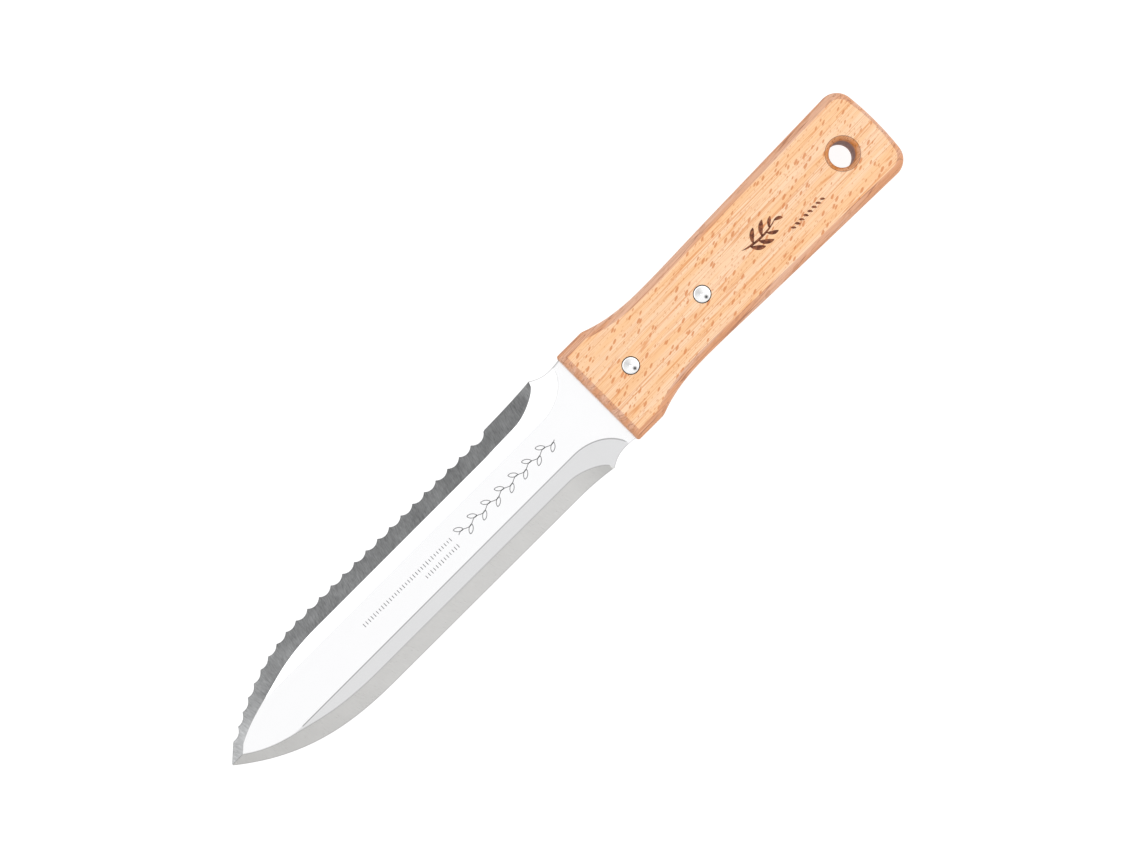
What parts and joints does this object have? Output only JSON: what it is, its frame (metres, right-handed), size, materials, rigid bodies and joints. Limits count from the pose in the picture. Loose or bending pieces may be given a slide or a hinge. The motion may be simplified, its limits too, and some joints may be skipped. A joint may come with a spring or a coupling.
{
  "type": "hori hori knife",
  "caption": "Digging knife with a dished steel blade, a scalloped saw edge opposite a plain edge, and a riveted beech handle with a hanging hole.",
  "frame": {"origin": "middle of the whole outline, level with the handle's back face", "axes": "+X from the butt of the handle to the tip of the blade, +Z out of the blade's convex face; the saw edge is on the -Y side and the knife edge on the +Y side"},
  "size_m": [0.323, 0.0434, 0.02],
  "materials": {
    "blade_steel": "stainless steel, fine satin face and ground bevels",
    "handle_beech": "clear-finished beech, rounded edges a little darker",
    "rivet_steel": "turned and polished stainless steel"
  },
  "bodies": {
    "root": {"blade": "blade_steel", "handle": "handle_beech", "front_rivet_male": "rivet_steel", "front_rivet_female": "rivet_steel", "rear_rivet_male": "rivet_steel", "rear_rivet_female": "rivet_steel"}
  },
  "joints": []
}
